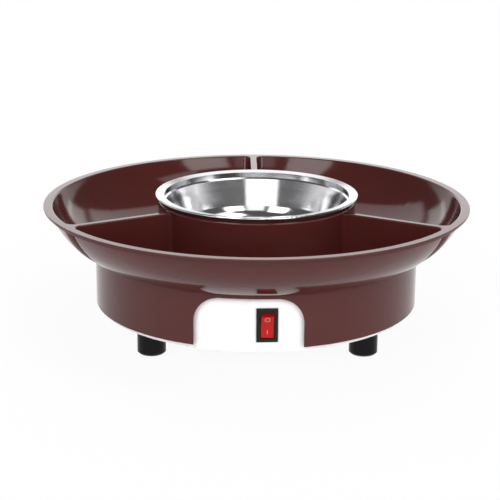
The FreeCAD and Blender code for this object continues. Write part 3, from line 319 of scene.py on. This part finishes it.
finishes.update({
    "mirror_steel": spun_steel("mirror_steel"),
    "cast_aluminium": metal("cast_aluminium", (0.60, 0.60, 0.61), (0.30, 0.46)),
    "screw_steel": metal("screw_steel", (0.58, 0.58, 0.57), (0.24, 0.40)),
    "clamp_steel": metal("clamp_steel", (0.52, 0.52, 0.53), (0.34, 0.50)),
    "element_steel": metal("element_steel", (0.32, 0.28, 0.24), (0.40, 0.60)),
    "fuse_metal": metal("fuse_metal", (0.60, 0.58, 0.52), (0.26, 0.40)),
    "terminal_brass": metal("terminal_brass", (0.72, 0.50, 0.20), (0.22, 0.36)),
    "mica": flaky_mica("mica"),
    "lamp_glass": lamp_glass("lamp_glass"),
})
print("finishes:", len(finishes))

# %% [markdown]
# ## Dress the solid parts
# The record says which finish each part takes. A part's mesh isn't touched: only the
# material in its slot is exchanged for the one made above.

# %% Put the finishes on
slot_of = {row["node"]: row["material_slot"] for row in frame["record"]["subparts"]}
for name, part in parts.items():
    part.data.materials.clear()
    part.data.materials.append(finishes[slot_of[name]])
print("dressed:", len(slot_of))

# %% [markdown]
# ## Round the edges that catch the light
# Where the compartments open at the rim and at the dividers, the real moulding is rounded by
# just under a millimetre, and so is the top edge of the rocker, which makes a pale line in the
# light. A copy of each of the two parts takes that rounding, and stands in for the part. The
# tray's comes first, and the rocker's follows once its pivot is known.

# %% Rounded copies
EDGE_ROUNDING = 0.0009
SAME_POINT = 0.000002
SHARP = math.radians(28)


def rounded_copy(name, body, chosen, segments):
    """A copy of a part, merged first, whose chosen edges are rounded.

    The copy keeps the part's own shading. Only the new faces are shaded afresh, and they
    take over the shading of the old faces at their borders.
    """
    source = parts[name]
    shape = bmesh.new()
    shape.from_mesh(source.data)
    shading = shape.loops.layers.float_vector.new("shading")
    corners = source.data.corner_normals
    for face, row in zip(shape.faces, source.data.polygons):
        for loop, corner in zip(face.loops, row.loop_indices):
            loop[shading] = corners[corner].vector
    bmesh.ops.remove_doubles(shape, verts=shape.verts, dist=SAME_POINT)
    edges = [edge for edge in shape.edges if len(edge.link_faces) == 2
             and edge.calc_face_angle() > SHARP and chosen(edge)]
    fresh = set(bmesh.ops.bevel(
        shape, geom=edges, offset=EDGE_ROUNDING, offset_type="OFFSET", affect="EDGES",
        segments=segments, profile=0.5, material=-1, clamp_overlap=False)["faces"])
    at_border = {loop.vert: loop[shading].copy() for face in shape.faces
                 if face not in fresh for loop in face.loops}
    for face in fresh:
        for loop in face.loops:
            around = [other.normal for other in loop.vert.link_faces if other in fresh]
            inner = sum(around, Vector()).normalized()
            loop[shading] = at_border.get(loop.vert, inner)
    normals = [loop[shading].normalized() for face in shape.faces for loop in face.loops]
    shape.loops.layers.float_vector.remove(shading)
    mesh = bpy.data.meshes.new("rounded_" + name)
    shape.to_mesh(mesh)
    shape.free()
    mesh.shade_smooth()
    mesh.normals_split_custom_set(normals)
    mesh.materials.append(source.data.materials[0])
    copy = bpy.data.objects.new("rounded_" + name, mesh)
    bpy.context.scene.collection.objects.link(copy)
    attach(copy, body)
    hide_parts(name)
    print(name, "edges rounded:", len(edges))


RIM_TOP = 0.0855
LEVEL = 0.00003
WELL_RADIUS, WALL_RADIUS = 0.0675, 0.1396


def at_mouth(edge):
    """Is this edge at the tray's top, between the well and the outer wall?"""
    return all(abs(v.co.z - RIM_TOP) < LEVEL
               and WELL_RADIUS < v.co.xy.length < WALL_RADIUS for v in edge.verts)


rounded_copy("serving_tray", "tray", at_mouth, segments=4)

# %% [markdown]
# ## The marks on the rocker
# A ring at the top and a bar at the bottom are moulded into the rocker in a paler plastic.
# They are real, thin pieces here, so they catch the light. Each starts flat in the XZ plane
# and is laid on its half of the rocker's face, where a ray from the front meets it.

# %% Where the rocker's face lies
hinge = [j for j in frame["joints"] if j["name"] == "rocker_tip"][0]
pivot = Vector(hinge["pos_m"])
across = Vector(hinge["axis"]).normalized()
inward = Vector((-across.y, across.x, 0))
rocker = parts["switch_rocker"]
rocker_skin = BVHTree.FromPolygons([v.co for v in rocker.data.vertices],
                                   [face.vertices[:] for face in rocker.data.polygons])


TOP_ABOVE_PIVOT = 0.0055
FULL_WIDTH = 0.004


def at_rocker_top(edge):
    """Is this edge near the rocker's top, and does it run across it?"""
    return (all(v.co.z > pivot.z + TOP_ABOVE_PIVOT for v in edge.verts)
            and abs((edge.verts[1].co - edge.verts[0].co).dot(across)) > FULL_WIDTH)


rounded_copy("switch_rocker", "rocker", at_rocker_top, segments=5)

RAY_START = 0.03


def on_rocker(height):
    """A turn and place on the rocker's face, so far above or below its pivot."""
    start = pivot - inward * RAY_START + Vector((0, 0, height))
    spot, normal, _, _ = rocker_skin.ray_cast(start, inward)
    upward = across.cross(-normal)
    turn = Matrix((across, -normal, upward)).transposed().to_4x4()
    return Matrix.Translation(spot) @ turn


# %% Make the ring and the bar
MARK_RISE = 0.00006
RING_INNER, RING_OUTER = 0.0013, 0.00168
RING_STEPS = 40
BAR_WIDTH, BAR_HEIGHT = 0.0004, 0.0025
RING_ABOVE_PIVOT, BAR_ABOVE_PIVOT = 0.0047, -0.0040
mark_ink = plastic("mark_ink", (0.60, 0.24, 0.20), (0.66, 0.28, 0.24), (0.25, 0.35))


def finish_piece(name, mesh_maker, where, material, body):
    """Turn a bmesh into an object in its place, with a finish, riding on a body."""
    shape = bmesh.new()
    mesh_maker(shape)
    bmesh.ops.transform(shape, matrix=where, verts=shape.verts)
    bmesh.ops.recalc_face_normals(shape, faces=shape.faces)
    mesh = bpy.data.meshes.new(name)
    shape.to_mesh(mesh)
    shape.free()
    mesh.materials.append(material)
    piece = bpy.data.objects.new(name, mesh)
    bpy.context.scene.collection.objects.link(piece)
    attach(piece, body)


def flat_ring(shape):
    """A ring in the XZ plane: a section spun about Y."""
    corners = [(RING_INNER, 0), (RING_OUTER, 0), (RING_OUTER, -MARK_RISE),
               (RING_INNER, -MARK_RISE)]
    points = [shape.verts.new((x, y, 0)) for x, y in corners]
    section = shape.faces.new(points)
    bmesh.ops.spin(shape, geom=[section, *section.edges, *section.verts], cent=(0, 0, 0),
                   axis=(0, 1, 0), angle=math.tau, steps=RING_STEPS, use_merge=True)
    bmesh.ops.delete(shape, geom=[f for f in shape.faces if f is section], context="FACES_ONLY")


def flat_bar(shape):
    """An upright bar in the XZ plane, its back on the plane."""
    bmesh.ops.create_cube(shape, size=1.0)
    bmesh.ops.scale(shape, vec=(BAR_WIDTH, MARK_RISE, BAR_HEIGHT), verts=shape.verts)
    bmesh.ops.translate(shape, vec=(0, -MARK_RISE / 2, 0), verts=shape.verts)


finish_piece("mark_off", flat_ring, on_rocker(RING_ABOVE_PIVOT), mark_ink,
             "rocker")
finish_piece("mark_on", flat_bar, on_rocker(BAR_ABOVE_PIVOT), mark_ink,
             "rocker")
print("marks on the rocker: ring and bar")

# %% [markdown]
# ## Camera
# The picture was taken from far away with a long lens, a little above the tray. The camera
# starts where it looks level along +Y. It is turned down, then tilted, panned and rolled a
# little, so that the middle of the tray's rim falls on its own pixel of a 500-pixel frame.

# %% Set the camera
IMAGE_SIZE = 500
LENS_PIXELS = 1466.6
SENSOR = 36.0
LOOK_DOWN = math.radians(14.17)
TURN = math.radians(1.2)
ROLL = math.radians(0.51)
DISTANCE = 1.0063
RIM_PIXEL = (256.15, 199.83)
rim_middle = Vector((0, 0, RIM_TOP))

middle = IMAGE_SIZE / 2
tilt = math.atan2(RIM_PIXEL[1] - middle, LENS_PIXELS)
pan = math.atan2(RIM_PIXEL[0] - middle, LENS_PIXELS)
turned = Matrix.Rotation(-TURN, 4, "Z") @ Matrix.Rotation(math.pi / 2 - LOOK_DOWN, 4, "X")
stand = rim_middle + turned @ Vector((0, 0, DISTANCE))
aimed = turned @ Matrix.Rotation(tilt, 4, "X") @ Matrix.Rotation(pan, 4, "Y")

camera_data = bpy.data.cameras.new("camera")
camera_data.sensor_width = SENSOR
camera_data.lens = LENS_PIXELS * SENSOR / IMAGE_SIZE
camera = bpy.data.objects.new("camera", camera_data)
camera.matrix_world = Matrix.Translation(stand) @ aimed @ Matrix.Rotation(ROLL, 4, "Z")
bpy.context.scene.collection.objects.link(camera)
bpy.context.scene.camera = camera
print("lens: %.1f mm" % camera_data.lens)

# %% [markdown]
# ## Lights, floor and background
# The studio is one world, the same for every ray. It is painted by direction: each panel of
# light has a bearing and a height in degrees, as seen from the melter, with 0 at the camera,
# 90 at the right and 180 behind. Two soft boxes stand in front, one at each side, with a
# weaker one higher at the right. Between them are two soft panels, and low fills at both
# sides brighten the skirt. One ceiling light hangs overhead and one at the right, and two
# panels stand behind. The rest of the tent is dim, because polished steel needs something
# dark to mirror. Low down, where the tent meets the floor, it is plain white all round.

# %% Group: one panel of light
HALF_TURN = 180.0


def panel_group():
    group, given, made = new_group(
        "panel",
        [("Bearing", "NodeSocketFloat", 0.0), ("Height", "NodeSocketFloat", 0.0),
         ("Middle Bearing", "NodeSocketFloat", 0.0), ("Middle Height", "NodeSocketFloat", 30.0),
         ("Half Width", "NodeSocketFloat", 15.0), ("Half Height", "NodeSocketFloat", 10.0),
         ("Soft Edge", "NodeSocketFloat", 3.0), ("Brightness", "NodeSocketFloat", 1.0)],
        [("Light", "NodeSocketFloat")])

    def inside(value, middle, half, wrap):
        apart = add(group, "Math", operation="SUBTRACT")
        join(group, given.outputs[value], apart.inputs[0])
        join(group, given.outputs[middle], apart.inputs[1])
        if wrap:
            turn = add(group, "Math", operation="WRAP")
            turn.inputs[1].default_value = HALF_TURN
            turn.inputs[2].default_value = -HALF_TURN
            join(group, apart.outputs["Value"], turn.inputs[0])
            apart = turn
        size = add(group, "Math", operation="ABSOLUTE")
        join(group, apart.outputs["Value"], size.inputs[0])
        outer = add(group, "Math", operation="ADD")
        join(group, given.outputs[half], outer.inputs[0])
        join(group, given.outputs["Soft Edge"], outer.inputs[1])
        fall = add(group, "MapRange", interpolation_type="SMOOTHSTEP")
        fall.inputs["To Min"].default_value = 1.0
        fall.inputs["To Max"].default_value = 0.0
        join(group, size.outputs["Value"], fall.inputs["Value"])
        join(group, given.outputs[half], fall.inputs["From Min"])
        join(group, outer.outputs["Value"], fall.inputs["From Max"])
        return fall.outputs["Result"]

    shape = add(group, "Math", operation="MULTIPLY")
    join(group, inside("Bearing", "Middle Bearing", "Half Width", True), shape.inputs[0])
    join(group, inside("Height", "Middle Height", "Half Height", False), shape.inputs[1])
    light = add(group, "Math", operation="MULTIPLY")
    join(group, shape.outputs["Value"], light.inputs[0])
    join(group, given.outputs["Brightness"], light.inputs[1])
    join(group, light.outputs["Value"], made.inputs["Light"])
    return group


# %% World
# Each panel: bearing, height, half width, half height and soft edge in degrees, brightness.
PANELS = {
    "box_left": (-36, 36, 13, 13, 2, 5.0),
    "box_right": (33, 32, 13, 10, 2, 5.0),
    "box_right_top": (60, 51, 14, 6, 4, 2.2),
    "front_low": (-8, 14.5, 20, 4.5, 3, 2.1),
    "front_middle": (0, 32, 11, 11, 4, 1.6),
    "fill_left": (-40, 1, 22, 4, 4, 2.2),
    "fill_right": (55, 1, 30, 4, 4, 3.2),
    "ceiling_right": (75, 66, 42, 7, 3, 3.0),
    "ceiling": (180, 84, 85, 9, 3, 3.4),
    "back_low": (180, 14.5, 34, 4.5, 4, 1.6),
    "back_middle": (185, 42, 42, 15, 5, 1.5),
    "tent": (0, 45, 180, 60, 2, 0.13),
    "horizon": (0, -40, 180, 49.5, 3, 1.0),
}


def studio_world():
    world = bpy.data.worlds.new("studio")
    bpy.context.scene.world = world
    world.use_nodes = True
    tree = world.node_tree
    split = add(tree, "SeparateXYZ")
    join(tree, add(tree, "TexCoord").outputs["Generated"], split.inputs["Vector"])
    front = add(tree, "Math", operation="MULTIPLY")
    front.inputs[1].default_value = -1.0
    join(tree, split.outputs["Y"], front.inputs[0])
    turn = add(tree, "Math", operation="ARCTAN2")
    join(tree, split.outputs["X"], turn.inputs[0])
    join(tree, front.outputs["Value"], turn.inputs[1])
    rise = add(tree, "Math", operation="ARCSINE")
    join(tree, split.outputs["Z"], rise.inputs[0])
    bearing = add(tree, "Math", operation="DEGREES")
    join(tree, turn.outputs["Value"], bearing.inputs[0])
    height = add(tree, "Math", operation="DEGREES")
    join(tree, rise.outputs["Value"], height.inputs[0])
    total = None
    group = panel_group()
    for name, (at, up, half_width, half_height, soft, brightness) in PANELS.items():
        panel = add(tree, "Group", node_tree=group, label=name)
        join(tree, bearing.outputs["Value"], panel.inputs["Bearing"])
        join(tree, height.outputs["Value"], panel.inputs["Height"])
        panel.inputs["Middle Bearing"].default_value = at
        panel.inputs["Middle Height"].default_value = up
        panel.inputs["Half Width"].default_value = half_width
        panel.inputs["Half Height"].default_value = half_height
        panel.inputs["Soft Edge"].default_value = soft
        panel.inputs["Brightness"].default_value = brightness
        if total is None:
            total = panel.outputs["Light"]
        else:
            both = add(tree, "Math", operation="ADD")
            join(tree, total, both.inputs[0])
            join(tree, panel.outputs["Light"], both.inputs[1])
            total = both.outputs["Value"]
    sky = tree.nodes["Background"]
    sky.inputs["Color"].default_value = (1, 1, 1, 1)
    join(tree, total, sky.inputs["Strength"])


studio_world()
print("panels of light:", len(PANELS))

# %% Floor
FLOOR_SIZE = 12.0
PLAIN_WHITE_SHARE = 0.93


def white_floor():
    """A floor that looks plain white but keeps a share of the melter's shadow."""
    bpy.ops.mesh.primitive_plane_add(size=FLOOR_SIZE, location=(0, 0, 0))
    floor = bpy.context.object
    floor.name = "floor"
    material, tree, surface = shader("floor_white", Roughness=0.9)
    surface.inputs["Base Color"].default_value = (0.86, 0.86, 0.86, 1)
    glow = add(tree, "Emission")
    seen = add(tree, "LightPath")
    seen_or_mirrored = add(tree, "Math", operation="MAXIMUM")
    seen_at_all = add(tree, "Math", operation="MAXIMUM")
    share = add(tree, "Math", operation="MULTIPLY")
    share.inputs[1].default_value = PLAIN_WHITE_SHARE
    both = add(tree, "MixShader")
    join(tree, seen.outputs["Is Camera Ray"], seen_or_mirrored.inputs[0])
    join(tree, seen.outputs["Is Glossy Ray"], seen_or_mirrored.inputs[1])
    join(tree, seen_or_mirrored.outputs["Value"], seen_at_all.inputs[0])
    join(tree, seen.outputs["Is Transmission Ray"], seen_at_all.inputs[1])
    join(tree, seen_at_all.outputs["Value"], share.inputs[0])
    join(tree, share.outputs["Value"], both.inputs["Fac"])
    join(tree, surface.outputs["BSDF"], both.inputs[1])
    join(tree, glow.outputs["Emission"], both.inputs[2])
    join(tree, both.outputs["Shader"], tree.nodes["Material Output"].inputs["Surface"])
    floor.data.materials.append(material)


white_floor()
bpy.context.scene.view_settings.view_transform = "Standard"
print("floor: %.0f m square" % FLOOR_SIZE)
